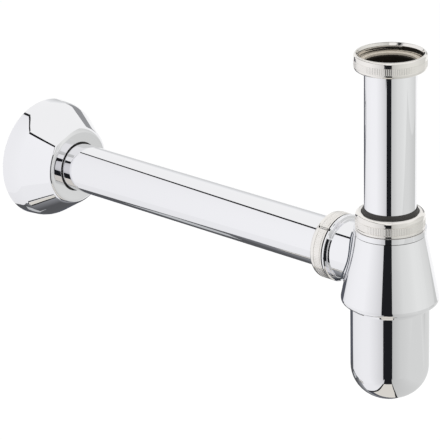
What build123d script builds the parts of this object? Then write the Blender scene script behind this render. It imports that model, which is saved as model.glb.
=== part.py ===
import os

from build123d import *

os.makedirs("parts", exist_ok=True)

# Bottle trap for a basin, all sizes in millimetres.
# The origin is on the inlet axis, on the face of the inlet washer.
# +Z is up along the inlet tube, and the outlet tube runs along -X to the wall.

# Clearances between pieces
slide_gap = 0.05
thread_gap = 0.05
turn_gap = 0.1
guide_gap = 0.3

# Tubes
tube_radius = 16.0
tube_wall = 1.0
tube_bore = tube_radius - tube_wall

# Heights and reaches that place the pieces
outlet_drop = 128.0
inlet_seat_rise = 22.9
inlet_seat_drop = outlet_drop - inlet_seat_rise
outlet_seat_reach = 36.9
flange_back_reach = 303.0

# Inlet washer and the flared end of the inlet tube
flare_width = 2.6
flare_radius = tube_radius + flare_width
flare_thickness = 1.0
washer_margin = 0.6
washer_radius = flare_radius + washer_margin
washer_inset = 0.4
washer_bore = tube_bore + washer_inset
washer_thickness = 1.6
dip_depth = 65.0
dip_end_drop = outlet_drop + dip_depth

# Inlet coupling nut, G 1 1/4
washer_slack = 0.275
coupling_minor_radius = washer_radius + washer_slack
coupling_thread_length = 4.2
coupling_mouth_flare = 0.825
coupling_mouth_radius = coupling_minor_radius + coupling_mouth_flare
coupling_relief = 1.0
coupling_relief_radius = washer_radius + coupling_relief
coupling_wall = 1.8
coupling_radius = coupling_relief_radius + coupling_wall
coupling_rim = 5.0
coupling_floor = 2.5
coupling_edge = 1.2

# Slip joint, the same at the inlet and at the outlet
seal_width = 2.6
seal_radius = tube_radius + seal_width
seal_shoulder = 5.8
seal_lip = 1.5
seal_lip_radius = tube_radius + seal_lip
seal_lip_tip = 0.5
seal_lip_tip_radius = tube_radius + seal_lip_tip
seal_lip_end = 12.7
socket_radius = seal_radius + turn_gap
socket_floor = 1.0
neck_wall = 0.75
neck_radius = socket_radius + neck_wall
neck_thread_radius = neck_radius + thread_gap
neck_length = 5.0
nut_wall = 1.8
nut_radius = neck_thread_radius + nut_wall
nut_length = 9.85
nut_lip = 2.5
nut_lip_bore = seal_lip_radius + guide_gap
nut_rim_edge = 1.2
nut_seat_edge = 0.4
ring_bore = seal_lip_radius + turn_gap
ring_radius = neck_thread_radius - guide_gap
guide_bore = tube_radius + guide_gap

# Trap body: neck collar, conical bell and outlet branch
collar_step = 1.0
collar_radius = nut_radius + collar_step
collar_height = 3.3
groove_depth = 0.9
groove_radius = collar_radius - groove_depth
groove_height = 0.5
cone_step = 0.4
cone_top_radius = collar_radius - cone_step
cone_taper = 0.2
bell_depth = 25.5
bell_band = 3.5
bell_edge = 2.5
bell_bottom_drop = outlet_drop + bell_depth
cone_end_drop = bell_bottom_drop - bell_band
chamber_roof = 8.4
chamber_top_drop = inlet_seat_drop + chamber_roof
chamber_wall = 2.3
chamber_top_radius = cone_top_radius - chamber_wall
branch_wall = 2.3
branch_radius = guide_bore + branch_wall
branch_fillet = 2.5
branch_collar_step = 2.8
branch_collar_radius = branch_radius + branch_collar_step
branch_collar_width = 2.0
branch_collar_edge = 0.5
branch_stop_depth = 10.9
branch_stop_reach = outlet_seat_reach - branch_stop_depth
branch_stop_lip = 0.2
branch_stop_radius = tube_bore - branch_stop_lip

# Cup and its gasket
cup_ring = 8.4
cup_radius = tube_radius + cup_ring
cup_wall = 1.3
cup_thread_step = 1.0
cup_thread_radius = cup_radius + cup_thread_step
cup_thread_outer = cup_thread_radius - thread_gap
cup_thread_depth = 6.5
cup_rim_drop = bell_bottom_drop - cup_thread_depth
cup_thread_length = 6.0
cup_depth = 63.0
cup_bottom_drop = bell_bottom_drop + cup_depth
cup_dome_inset = 3.4
cup_dome_radius = cup_radius - cup_dome_inset
gasket_thickness = 1.8
gasket_cover = 2.6
gasket_bore = cup_radius - gasket_cover
gasket_radius = cup_thread_radius - guide_gap
chamber_margin = 0.6
chamber_end_radius = gasket_bore + chamber_margin

# Outlet tube
outlet_stop_gap = 1.5
outlet_inner_reach = branch_stop_reach + outlet_stop_gap
wall_reach = 20.0
outlet_end_reach = flange_back_reach + wall_reach
spigot_length = 18.0
spigot_step = 0.3
spigot_radius = tube_radius - spigot_step
spigot_chamfer = 0.5

# Wall flange and its grip ring
flange_radius = 40.2
flange_rim_front_radius = 39.4
flange_rim_width = 10.0
flange_depth = 33.0
flange_face_bevel = 1.2
flange_wall = 1.2
flange_play = 1.3
flange_bore = tube_radius + flange_play
flange_face_width = 9.0
flange_face_radius = flange_bore + flange_face_width
flange_rim_edge = 2.0
flange_face_edge = 2.2
grip_height = 4.0
grip_radius = tube_radius + grip_height
grip_width = 3.5

# Shared axes and sketch planes
outlet_axis = Axis((0, 0, -outlet_drop), (-1, 0, 0))
inlet_joint = Plane(origin=(0, 0, -inlet_seat_drop), x_dir=(1, 0, 0), z_dir=(0, -1, 0))
outlet_joint = Plane(origin=(-outlet_seat_reach, 0, -outlet_drop), x_dir=(0, 0, 1), z_dir=(0, -1, 0))
outlet_line = Plane(origin=(0, 0, -outlet_drop), x_dir=(0, 0, 1), z_dir=(0, -1, 0))

# Outlines of the slip joint pieces, as radius and height above the nut seat
nut_shelf = nut_length - nut_lip
nut_outline = (
    (neck_thread_radius, 0),
    (nut_radius, 0),
    (nut_radius, nut_length),
    (nut_lip_bore, nut_length),
    (nut_lip_bore, nut_shelf),
    (neck_thread_radius, nut_shelf),
)
ring_outline = (
    (ring_bore, seal_shoulder),
    (ring_radius, seal_shoulder),
    (ring_radius, nut_shelf),
    (ring_bore, nut_shelf),
)
seal_outline = (
    (tube_radius + slide_gap, socket_floor),
    (seal_radius, socket_floor),
    (seal_radius, seal_shoulder),
    (seal_lip_radius, seal_shoulder),
    (seal_lip_radius, nut_length),
    (seal_lip_tip_radius, seal_lip_end),
    (tube_radius + slide_gap, seal_lip_end),
)

# Coupling nut that screws onto the basin waste
flare_base = -washer_thickness - flare_thickness
coupling_base = flare_base - coupling_floor
with BuildPart() as inlet_coupling_nut:
    with BuildSketch(Plane.XZ) as coupling_section:
        with BuildLine():
            Polyline(
                (tube_radius + guide_gap, coupling_base),
                (coupling_radius, coupling_base),
                (coupling_radius, coupling_rim),
                (coupling_mouth_radius, coupling_rim),
                (coupling_minor_radius, coupling_thread_length),
                (coupling_minor_radius, 0),
                (coupling_relief_radius, 0),
                (coupling_relief_radius, flare_base),
                (tube_radius + guide_gap, flare_base),
                close=True,
            )
        make_face()
        outer_corners = coupling_section.vertices().group_by(Axis.X)[-1]
        fillet(outer_corners, radius=coupling_edge)
    revolve(axis=Axis.Z)
inlet_coupling_nut.part.label = "inlet_coupling_nut"
export_step(inlet_coupling_nut.part, "parts/inlet_coupling_nut.step")

# Flat washer on the flared end of the inlet tube
with BuildPart() as inlet_washer:
    with BuildSketch(Plane.XZ):
        with BuildLine():
            Polyline(
                (washer_bore, -washer_thickness),
                (washer_radius, -washer_thickness),
                (washer_radius, 0),
                (washer_bore, 0),
                close=True,
            )
        make_face()
    revolve(axis=Axis.Z)
inlet_washer.part.label = "inlet_washer"
export_step(inlet_washer.part, "parts/inlet_washer.step")

# Inlet tube, flared at the top and dipping into the cup
with BuildPart() as inlet_tube:
    with BuildSketch(Plane.XZ):
        with BuildLine():
            Polyline(
                (tube_bore, -dip_end_drop),
                (tube_radius, -dip_end_drop),
                (tube_radius, flare_base),
                (flare_radius, flare_base),
                (flare_radius, -washer_thickness),
                (tube_bore, -washer_thickness),
                close=True,
            )
        make_face()
    revolve(axis=Axis.Z)
inlet_tube.part.label = "inlet_tube"
export_step(inlet_tube.part, "parts/inlet_tube.step")

# Slip joint at the inlet: nut, friction ring and rubber seal
with BuildPart() as inlet_slip_nut:
    with BuildSketch(inlet_joint) as inlet_nut_section:
        with BuildLine():
            Polyline(*nut_outline, close=True)
        make_face()
        inlet_nut_corners = inlet_nut_section.vertices().group_by(Axis.X)[-1].sort_by(Axis.Y)
        chamfer(inlet_nut_corners[0], length=nut_seat_edge)
        fillet(inlet_nut_corners[-1], radius=nut_rim_edge)
    revolve(axis=Axis.Z)
inlet_slip_nut.part.label = "inlet_slip_nut"
export_step(inlet_slip_nut.part, "parts/inlet_slip_nut.step")

with BuildPart() as inlet_friction_ring:
    with BuildSketch(inlet_joint):
        with BuildLine():
            Polyline(*ring_outline, close=True)
        make_face()
    revolve(axis=Axis.Z)
inlet_friction_ring.part.label = "inlet_friction_ring"
export_step(inlet_friction_ring.part, "parts/inlet_friction_ring.step")

with BuildPart() as inlet_seal:
    with BuildSketch(inlet_joint):
        with BuildLine():
            Polyline(*seal_outline, close=True)
        make_face()
    revolve(axis=Axis.Z)
inlet_seal.part.label = "inlet_seal"
export_step(inlet_seal.part, "parts/inlet_seal.step")

# Trap body, with the bell open below and the branch to the outlet
cone_top = -inlet_seat_drop - collar_height - groove_height
cone_end_radius = cone_top_radius + cone_taper * (cone_end_drop + cone_top)
cone_seat_radius = cone_top_radius - cone_taper * (collar_height + groove_height)
gasket_face = -cup_rim_drop + gasket_thickness
collar_base = -inlet_seat_drop - collar_height
neck_end = -inlet_seat_drop + neck_length
socket_base = -inlet_seat_drop + socket_floor
branch_end_reach = outlet_seat_reach + neck_length
branch_socket_reach = outlet_seat_reach + socket_floor
branch_collar_reach = outlet_seat_reach - branch_collar_width
with BuildPart() as trap_body:
    with BuildSketch(Plane.XZ) as bell_section:
        with BuildLine():
            Polyline(
                (0, -inlet_seat_drop),
                (cone_seat_radius, -inlet_seat_drop),
                (cone_end_radius, -cone_end_drop),
                (cone_end_radius, -bell_bottom_drop),
                (0, -bell_bottom_drop),
                close=True,
            )
        make_face()
        bell_corner = bell_section.vertices().group_by(Axis.X)[-1].sort_by(Axis.Y)[0]
        fillet(bell_corner, radius=bell_edge)
    revolve(axis=Axis.Z)
    with BuildSketch(outlet_line):
        with BuildLine():
            Polyline(
                (0, 0),
                (branch_radius, 0),
                (branch_radius, branch_collar_reach),
                (0, branch_collar_reach),
                close=True,
            )
        make_face()
    revolve(axis=outlet_axis)
    branch_seam = trap_body.edges().filter_by(GeomType.BSPLINE)
    fillet(branch_seam, radius=branch_fillet)
    with BuildSketch(outlet_line) as branch_collar_section:
        with BuildLine():
            Polyline(
                (0, branch_collar_reach),
                (branch_collar_radius, branch_collar_reach),
                (branch_collar_radius, outlet_seat_reach),
                (neck_radius, outlet_seat_reach),
                (neck_radius, branch_end_reach),
                (0, branch_end_reach),
                close=True,
            )
        make_face()
        branch_collar_corners = branch_collar_section.vertices().group_by(Axis.X)[-1]
        chamfer(branch_collar_corners, length=branch_collar_edge)
    revolve(axis=outlet_axis)
    with BuildSketch(Plane.XZ):
        with BuildLine():
            Polyline(
                (groove_radius, collar_base),
                (cone_end_radius, collar_base),
                (cone_end_radius, cone_top),
                (groove_radius, cone_top),
                close=True,
            )
        make_face()
    revolve(axis=Axis.Z, mode=Mode.SUBTRACT)
    with BuildSketch(Plane.XZ):
        with BuildLine():
            Polyline(
                (0, collar_base),
                (collar_radius, collar_base),
                (collar_radius, -inlet_seat_drop),
                (neck_radius, -inlet_seat_drop),
                (neck_radius, neck_end),
                (0, neck_end),
                close=True,
            )
        make_face()
    revolve(axis=Axis.Z)
    with BuildSketch(Plane.XZ):
        with BuildLine():
            Polyline(
                (0, neck_end),
                (socket_radius, neck_end),
                (socket_radius, socket_base),
                (guide_bore, socket_base),
                (guide_bore, -chamber_top_drop),
                (chamber_top_radius, -chamber_top_drop),
                (chamber_end_radius, gasket_face),
                (cup_thread_radius, gasket_face),
                (cup_thread_radius, -bell_bottom_drop),
                (0, -bell_bottom_drop),
                close=True,
            )
        make_face()
    revolve(axis=Axis.Z, mode=Mode.SUBTRACT)
    with BuildSketch(outlet_line):
        with BuildLine():
            Polyline(
                (0, 0),
                (branch_stop_radius, 0),
                (branch_stop_radius, branch_stop_reach),
                (guide_bore, branch_stop_reach),
                (guide_bore, branch_socket_reach),
                (socket_radius, branch_socket_reach),
                (socket_radius, branch_end_reach),
                (0, branch_end_reach),
                close=True,
            )
        make_face()
    revolve(axis=outlet_axis, mode=Mode.SUBTRACT)
trap_body.part.label = "trap_body"
export_step(trap_body.part, "parts/trap_body.step")

# Cup that screws into the bell from below, and its flat gasket
cup_flat_radius = cup_radius - cup_dome_radius
cup_dome_drop = cup_bottom_drop - cup_dome_radius
cup_thread_end = cup_rim_drop + cup_thread_length
cup_bore = cup_radius - cup_wall
cup_inner_dome = cup_dome_radius - cup_wall
with BuildPart() as cup:
    with BuildSketch(Plane.XZ):
        with BuildLine():
            Polyline(
                (cup_bore, -cup_dome_drop),
                (cup_bore, -cup_rim_drop),
                (cup_thread_outer, -cup_rim_drop),
                (cup_thread_outer, -cup_thread_end),
                (cup_radius, -cup_thread_end),
                (cup_radius, -cup_dome_drop),
            )
            CenterArc((cup_flat_radius, -cup_dome_drop), cup_dome_radius, 0, -90)
            Polyline(
                (cup_flat_radius, -cup_bottom_drop),
                (0, -cup_bottom_drop),
                (0, -cup_bottom_drop + cup_wall),
                (cup_flat_radius, -cup_bottom_drop + cup_wall),
            )
            CenterArc((cup_flat_radius, -cup_dome_drop), cup_inner_dome, 0, -90)
        make_face()
    revolve(axis=Axis.Z)
cup.part.label = "cup"
export_step(cup.part, "parts/cup.step")

with BuildPart() as cup_gasket:
    with BuildSketch(Plane.XZ):
        with BuildLine():
            Polyline(
                (gasket_bore, -cup_rim_drop),
                (gasket_radius, -cup_rim_drop),
                (gasket_radius, gasket_face),
                (gasket_bore, gasket_face),
                close=True,
            )
        make_face()
    revolve(axis=Axis.Z)
cup_gasket.part.label = "cup_gasket"
export_step(cup_gasket.part, "parts/cup_gasket.step")

# Slip joint at the outlet: nut, friction ring and rubber seal
with BuildPart() as outlet_slip_nut:
    with BuildSketch(outlet_joint) as outlet_nut_section:
        with BuildLine():
            Polyline(*nut_outline, close=True)
        make_face()
        outlet_nut_corners = outlet_nut_section.vertices().group_by(Axis.X)[-1].sort_by(Axis.Y)
        chamfer(outlet_nut_corners[0], length=nut_seat_edge)
        fillet(outlet_nut_corners[-1], radius=nut_rim_edge)
    revolve(axis=outlet_axis)
outlet_slip_nut.part.label = "outlet_slip_nut"
export_step(outlet_slip_nut.part, "parts/outlet_slip_nut.step")

with BuildPart() as outlet_friction_ring:
    with BuildSketch(outlet_joint):
        with BuildLine():
            Polyline(*ring_outline, close=True)
        make_face()
    revolve(axis=outlet_axis)
outlet_friction_ring.part.label = "outlet_friction_ring"
export_step(outlet_friction_ring.part, "parts/outlet_friction_ring.step")

with BuildPart() as outlet_seal:
    with BuildSketch(outlet_joint):
        with BuildLine():
            Polyline(*seal_outline, close=True)
        make_face()
    revolve(axis=outlet_axis)
outlet_seal.part.label = "outlet_seal"
export_step(outlet_seal.part, "parts/outlet_seal.step")

# Outlet tube, with a sized spigot at the wall end
spigot_reach = outlet_end_reach - spigot_length
with BuildPart() as outlet_tube:
    with BuildSketch(outlet_line):
        with BuildLine():
            Polyline(
                (tube_bore, outlet_inner_reach),
                (tube_radius, outlet_inner_reach),
                (tube_radius, spigot_reach),
                (spigot_radius, spigot_reach),
                (spigot_radius, outlet_end_reach - spigot_chamfer),
                (spigot_radius - spigot_chamfer, outlet_end_reach),
                (tube_bore, outlet_end_reach),
                close=True,
            )
        make_face()
    revolve(axis=outlet_axis)
outlet_tube.part.label = "outlet_tube"
export_step(outlet_tube.part, "parts/outlet_tube.step")

# Deep wall flange, open at the back, and the rubber ring that grips the tube
flange_rim_reach = flange_back_reach - flange_rim_width
flange_front_reach = flange_back_reach - flange_depth
flange_bevel_reach = flange_front_reach + flange_face_bevel
flange_inner_front = flange_front_reach + flange_wall
with BuildPart() as wall_flange:
    with BuildSketch(outlet_line) as flange_section:
        with BuildLine():
            Polyline(
                (flange_radius, flange_back_reach),
                (flange_rim_front_radius, flange_rim_reach),
                (flange_face_radius, flange_bevel_reach),
                (flange_bore, flange_front_reach),
                (flange_bore, flange_inner_front),
                (flange_face_radius - flange_wall, flange_inner_front),
                (flange_rim_front_radius - flange_wall, flange_rim_reach + flange_wall),
                (flange_radius - flange_wall, flange_back_reach),
                close=True,
            )
        make_face()
        rim_corner = (flange_rim_front_radius, flange_rim_reach)
        fillet(flange_section.vertices().sort_by_distance(rim_corner)[0], radius=flange_rim_edge)
        face_corner = (flange_face_radius, flange_bevel_reach)
        fillet(flange_section.vertices().sort_by_distance(face_corner)[0], radius=flange_face_edge)
    revolve(axis=outlet_axis)
wall_flange.part.label = "wall_flange"
export_step(wall_flange.part, "parts/wall_flange.step")

with BuildPart() as flange_grip_ring:
    with BuildSketch(outlet_line):
        with BuildLine():
            Polyline(
                (tube_radius + slide_gap, flange_inner_front),
                (grip_radius, flange_inner_front),
                (grip_radius, flange_inner_front + grip_width),
                (tube_radius + slide_gap, flange_inner_front + grip_width),
                close=True,
            )
        make_face()
    revolve(axis=outlet_axis)
flange_grip_ring.part.label = "flange_grip_ring"
export_step(flange_grip_ring.part, "parts/flange_grip_ring.step")
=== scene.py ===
# %% [markdown]
# # A chrome bottle trap for a basin
# The trap hangs under a basin: a coupling nut and an inlet tube come down into a conical
# body, a screwed cup hangs below it, and a long outlet tube runs to the wall, where a deep
# flange hides the hole. The CAD part fixes every size and every place. Here each piece gets
# the finish and the fine detail that the solids leave out: rolled threads, knurled bands,
# rounded edges, plated and moulded surfaces. The first cell loads the imported part.

# %% Load the imported part
import math

import bmesh
import bpy
from mathutils import Matrix, Vector


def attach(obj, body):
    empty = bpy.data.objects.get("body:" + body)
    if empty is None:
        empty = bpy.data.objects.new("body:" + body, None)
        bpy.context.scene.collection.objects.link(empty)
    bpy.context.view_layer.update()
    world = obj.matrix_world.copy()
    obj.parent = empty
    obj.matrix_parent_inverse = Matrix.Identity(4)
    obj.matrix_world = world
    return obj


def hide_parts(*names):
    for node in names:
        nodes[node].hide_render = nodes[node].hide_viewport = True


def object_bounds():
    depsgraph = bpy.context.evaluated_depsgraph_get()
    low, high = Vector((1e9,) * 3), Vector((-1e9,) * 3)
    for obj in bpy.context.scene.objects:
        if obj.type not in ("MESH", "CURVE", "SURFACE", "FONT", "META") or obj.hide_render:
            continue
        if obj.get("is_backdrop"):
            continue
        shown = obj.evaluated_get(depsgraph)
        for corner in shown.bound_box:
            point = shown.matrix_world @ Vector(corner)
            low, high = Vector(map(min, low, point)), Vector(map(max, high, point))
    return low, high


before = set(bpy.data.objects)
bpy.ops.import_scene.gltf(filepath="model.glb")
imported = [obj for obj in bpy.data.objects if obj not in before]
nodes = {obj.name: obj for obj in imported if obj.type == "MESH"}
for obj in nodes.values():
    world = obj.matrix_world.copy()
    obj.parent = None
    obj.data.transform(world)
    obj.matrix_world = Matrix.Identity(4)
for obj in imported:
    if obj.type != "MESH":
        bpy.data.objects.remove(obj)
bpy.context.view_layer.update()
MM = 0.001

# %% [markdown]
# ## Two small helpers
# Colours are picked as sRGB hex values, the way a paint chart gives them, but a shader wants
# linear light, so one function turns the first into the second. The other helper puts one
# node into a tree with its settings, and links or sets its sockets. It serves both the
# materials and the geometry trees below.


# %% Colour and node helpers
def hex_to_linear(code):
    parts = [int(code[i : i + 2], 16) / 255 for i in (1, 3, 5)]
    line = [p / 12.92 if p <= 0.04045 else ((p + 0.055) / 1.055) ** 2.4 for p in parts]
    return (*line, 1.0)


def put(tree, kind, settings=None, sockets=None):
    node = tree.nodes.new(kind)
    for name, value in (settings or {}).items():
        setattr(node, name, value)
    for key, value in (sockets or {}).items():
        if isinstance(value, bpy.types.NodeSocket):
            tree.links.new(value, node.inputs[key])
        else:
            node.inputs[key].default_value = value
    return node


print("mid grey #808080 is", round(hex_to_linear("#808080")[0], 3), "in linear light")

# %% [markdown]
# ## Polished chrome plate
# Both tubes, the body, the cup and the flange are brass, polished and plated with bright
# chrome. Plate a few microns thick copies the polished brass under it, so the eye gets an
# almost perfect mirror with a cool tint. It could be a plain metal with no roughness, but
# real plate shows two things: broad faint patches where it was wiped, and a slow ripple left
# by the polishing wheel. The wiped patches are about 30 mm across and only move the
# roughness a little. The ripple is about 9 mm long and far under a micron high.


# %% Chrome material
def start_material(name):
    material = bpy.data.materials.new(name)
    material.use_nodes = True
    material.node_tree.nodes.clear()
    return material, material.node_tree


WIPE_MM, RIPPLE_MM, RIPPLE_HIGH_MM = 30.0, 9.0, 0.02
NOISE_LOW, NOISE_HIGH = 0.3, 0.7


def noise(tree, place, size_mm, detail):
    sockets = {"Vector": place, "Scale": 1 / (size_mm * MM), "Detail": detail}
    return put(tree, "ShaderNodeTexNoise", {}, sockets).outputs["Fac"]


def spread(tree, value, low, high):
    sockets = {"From Min": NOISE_LOW, "From Max": NOISE_HIGH, "To Min": low, "To Max": high}
    return put(tree, "ShaderNodeMapRange", {}, {"Value": value, **sockets}).outputs["Result"]


def bump(tree, height, strength, high_mm):
    sockets = {"Strength": strength, "Distance": high_mm * MM, "Height": height}
    return put(tree, "ShaderNodeBump", {}, sockets).outputs["Normal"]


def coat(tree, sockets):
    surface = put(tree, "ShaderNodeBsdfPrincipled", {}, sockets)
    put(tree, "ShaderNodeOutputMaterial", {}, {"Surface": surface.outputs["BSDF"]})


chrome, tree = start_material("polished_chrome_plate_on_brass")
place = put(tree, "ShaderNodeTexCoord").outputs["Object"]
wiped = noise(tree, place, WIPE_MM, 3.0)
ripple = noise(tree, place, RIPPLE_MM, 1.0)
coat(
    tree,
    {
        "Base Color": hex_to_linear("#EEEEF0"),
        "Metallic": 1.0,
        "Roughness": spread(tree, wiped, 0.012, 0.035),
        "Normal": bump(tree, ripple, 0.02, RIPPLE_HIGH_MM),
    },
)
print("made", chrome.name)

# %% [markdown]
# ## Satin nickel plate
# The three nuts look warmer and softer than the tubes: turned brass with nickel plate and no
# final buffing. The turning tool leaves fine rings around the axis, about 0.4 mm apart, which
# spread the reflections a little along the axis. A wave pattern in bands gives the rings.
# Bands run along one axis, and the outlet nut lies on its side, so the function takes the
# axis that the rings follow. The cut thread inside a nut is never smoothed, so it gets the
# same plate with a rougher face that blurs what it mirrors.

# %% Nickel material
TURNING_MM, MOTTLE_MM, RING_HIGH_MM = 0.4, 6.0, 0.02


def blend(tree, factor, dark, light):
    sockets = {"Factor": factor, "A": hex_to_linear(dark), "B": hex_to_linear(light)}
    return put(tree, "ShaderNodeMix", {"data_type": "RGBA"}, sockets).outputs["Result"]


def satin_nickel(name, axis, smoothest, roughest):
    material, tree = start_material(name)
    place = put(tree, "ShaderNodeTexCoord").outputs["Object"]
    # At scale 1 the wave runs through 20 radians per unit, so the scale follows from the rings.
    wave_scale = math.pi / (10 * TURNING_MM * MM)
    rings = put(
        tree,
        "ShaderNodeTexWave",
        {"wave_type": "BANDS", "bands_direction": axis},
        {"Vector": place, "Scale": wave_scale, "Distortion": 1.2, "Detail": 2.0},
    )
    mottle = noise(tree, place, MOTTLE_MM, 3.0)
    coat(
        tree,
        {
            "Base Color": blend(tree, mottle, "#E6E3DE", "#F1EEEA"),
            "Metallic": 1.0,
            "Roughness": spread(tree, mottle, smoothest, roughest),
            "Normal": bump(tree, rings.outputs["Fac"], 0.12, RING_HIGH_MM),
        },
    )
    print("made", material.name)
    return material


nickel_upright = satin_nickel("satin_nickel_plate_turned_upright", "Z", 0.05, 0.09)
nickel_level = satin_nickel("satin_nickel_plate_turned_level", "X", 0.05, 0.09)
nickel_thread = satin_nickel("nickel_plate_on_cut_thread", "Z", 0.14, 0.22)

# %% [markdown]
# ## The dark and the soft materials
# Inside, the tubes are bare brass with oxide, coloured nearly black as painted shade in the bore,
# which is why the mouth of the trap reads as a black hole. The same near-black finish is painted
# shade in grooves and gaps. The seals and gaskets are moulded black rubber: dull, with the fine
# grain of the mould. The washer in the coupling nut is pressed vulcanised fibre, a tan card with
# short darker fibres. The rings that let a nut turn without dragging the rubber are white moulded
# plastic. A grey finish draws painted shade lines beside the branch fillet. None of them mirrors
# like bare metal, so each is a dielectric with a speckle of the right size.


# %% Rubber, fibre, plastic, bare brass and painted shade
def speckled(name, dark, light, grain_mm, rough_low, rough_high, relief_mm, specular=0.5):
    material, tree = start_material(name)
    place = put(tree, "ShaderNodeTexCoord").outputs["Object"]
    grain = noise(tree, place, grain_mm, 4.0)
    coat(
        tree,
        {
            "Base Color": blend(tree, grain, dark, light),
            "Roughness": spread(tree, grain, rough_low, rough_high),
            "Specular IOR Level": specular,
            "Normal": bump(tree, grain, 0.5, relief_mm),
        },
    )
    print("made", material.name)
    return material


rubber = speckled("moulded_black_rubber", "#1B1A18", "#2E2C29", 0.6, 0.42, 0.6, 0.03)
fibre = speckled("pressed_vulcanised_fibre", "#A9A194", "#C8C0B4", 0.8, 0.4, 0.55, 0.03)
plastic = speckled("moulded_white_plastic", "#DEDDD6", "#E9E8E2", 3.0, 0.35, 0.45, 0.01)
# Oxidised brass, coloured near black so that it is also painted shade in bores, grooves and gaps.
oxide_and_painted_shade = speckled("oxidised_brass_and_painted_shade", "#100D0A", "#1A150F", 2.0, 0.55, 0.75, 0.02, specular=0.2)
# Grey finish for the painted shade lines beside the branch fillet.
fillet_shade = speckled(
    "grey_painted_shade_on_chrome", "#2B313B", "#4A525E", 0.8, 0.4, 0.55, 0.01, specular=0.3
)

# %% [markdown]
# ## A lathe in Geometry Nodes
# Nearly every piece of a trap is turned, spun or drawn round one axis, so its shape follows
# one rule: an outline swept round a circle. The modelling menu has a spin tool for that, but
# a node tree keeps the rule and its sizes in view. The outline is a chain of edges. The tree
# makes a curve of it, sweeps it round a ring, closes the poles by merging, and smooths the
# faces. A piece comes out upright on the origin's axis, in metres. This tree and those further
# down all end alike: copies are made real, then the finish is set.


# %% The lathe tree
def start_tree(name, inputs):
    tree = bpy.data.node_groups.new(name, "GeometryNodeTree")
    tree.interface.new_socket("Geometry", in_out="INPUT", socket_type="NodeSocketGeometry")
    for label, kind in inputs:
        tree.interface.new_socket(label, in_out="INPUT", socket_type=kind)
    tree.interface.new_socket("Geometry", in_out="OUTPUT", socket_type="NodeSocketGeometry")
    return tree, put(tree, "NodeGroupInput").outputs


def end_tree(tree, geometry, finish):
    real = put(tree, "GeometryNodeRealizeInstances", {}, {"Geometry": geometry})
    sockets = {"Geometry": real.outputs["Geometry"], "Material": finish}
    coated = put(tree, "GeometryNodeSetMaterial", {}, sockets)
    put(tree, "NodeGroupOutput", {}, {"Geometry": coated.outputs["Geometry"]})


MERGE_MM = 0.002
lathe, given = start_tree(
    "turned_on_a_lathe",
    [
        ("Segments", "NodeSocketInt"),
        ("Ring radius", "NodeSocketFloat"),
        ("Finish", "NodeSocketMaterial"),
    ],
)
chain = put(lathe, "GeometryNodeMeshToCurve", {}, {"Mesh": given["Geometry"]})
ring = put(
    lathe,
    "GeometryNodeCurvePrimitiveCircle",
    {"mode": "RADIUS"},
    {"Resolution": given["Segments"], "Radius": given["Ring radius"]},
)
upright = put(
    lathe, "GeometryNodeSetCurveNormal", {"mode": "Z_UP"}, {"Curve": ring.outputs["Curve"]}
)
swept = put(
    lathe,
    "GeometryNodeCurveToMesh",
    {},
    {"Curve": upright.outputs["Curve"], "Profile Curve": chain.outputs["Curve"]},
)
closed = put(
    lathe,
    "GeometryNodeMergeByDistance",
    {},
    {"Geometry": swept.outputs["Mesh"], "Distance": MERGE_MM * MM},
)
smooth = put(lathe, "GeometryNodeSetShadeSmooth", {}, {"Geometry": closed.outputs["Geometry"]})
end_tree(lathe, smooth.outputs["Geometry"], given["Finish"])
print("lathe tree with", len(lathe.nodes), "nodes")

# %% [markdown]
# ## Outlines with rounded corners
# A turned piece has no razor edges: every corner is broken or rounded, and on a mirror finish
# that thin round line is what draws the shape. The outline is written as corners, each with a
# radius, and the function below puts an arc into each one. It also adds a point close to each
# end of a straight run, so that the smoothing between faces stays in a narrow strip and a
# tube keeps a true mirror along its length.

# %% Outline helper
ARC_STEP = math.radians(7.0)
GUARD_MM = 0.15


def rounded(corners, closed=True):
    count = len(corners)
    runs = []
    for i, corner in enumerate(corners):
        here = Vector(corner[:2])
        radius = corner[2] if len(corner) > 2 else 0.0
        if radius == 0.0 or (not closed and i in (0, count - 1)):
            runs.append([here])
            continue
        to_last = (Vector(corners[i - 1][:2]) - here).normalized()
        to_next = (Vector(corners[(i + 1) % count][:2]) - here).normalized()
        half = math.acos(max(-1.0, min(1.0, to_last.dot(to_next)))) / 2
        start = here + to_last * (radius / math.tan(half))
        end = here + to_next * (radius / math.tan(half))
        middle = here + (to_last + to_next).normalized() * (radius / math.sin(half))
        sweep = math.pi - 2 * half
        steps = max(3, math.ceil(sweep / ARC_STEP))
        arc = []
        for k in range(steps + 1):
            share = k / steps
            low = math.sin((1 - share) * sweep) / math.sin(sweep)
            high = math.sin(share * sweep) / math.sin(sweep)
            arc.append(middle + (start - middle) * low + (end - middle) * high)
        runs.append(arc)
    points = []
    for i in range(count):
        points += runs[i]
        if not closed and i == count - 1:
            break
        a, b = runs[i][-1], runs[(i + 1) % count][0]
        if (b - a).length > 4 * GUARD_MM:
            step = (b - a).normalized() * GUARD_MM
            points += [a + step, b - step]
    return points


square = rounded([(0, 0, 1), (9, 0, 1), (9, 9, 1), (0, 9, 1)])
print("a square with 1 mm corners takes", len(square), "points")

# %% [markdown]
# ## From tree to plain mesh
# A tree is live until its result is turned into a plain mesh. The function below hangs a tree
# on an object, sets the named inputs through their identifiers, takes the evaluated mesh and
# drops the modifier. The two placing matrices carry a piece from the lathe to its axis on the
# trap: upright pieces stay as the lathe makes them, and the outlet pieces go down to the
# outlet axis and lie towards the wall.

# %% Growing and placing
OUTLET_DROP = 128.0
on_inlet_axis = Matrix.Identity(4)
on_outlet_axis = Matrix(((0, 0, -1, 0), (0, 1, 0, 0), (1, 0, 0, -OUTLET_DROP * MM), (0, 0, 0, 1)))


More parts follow.
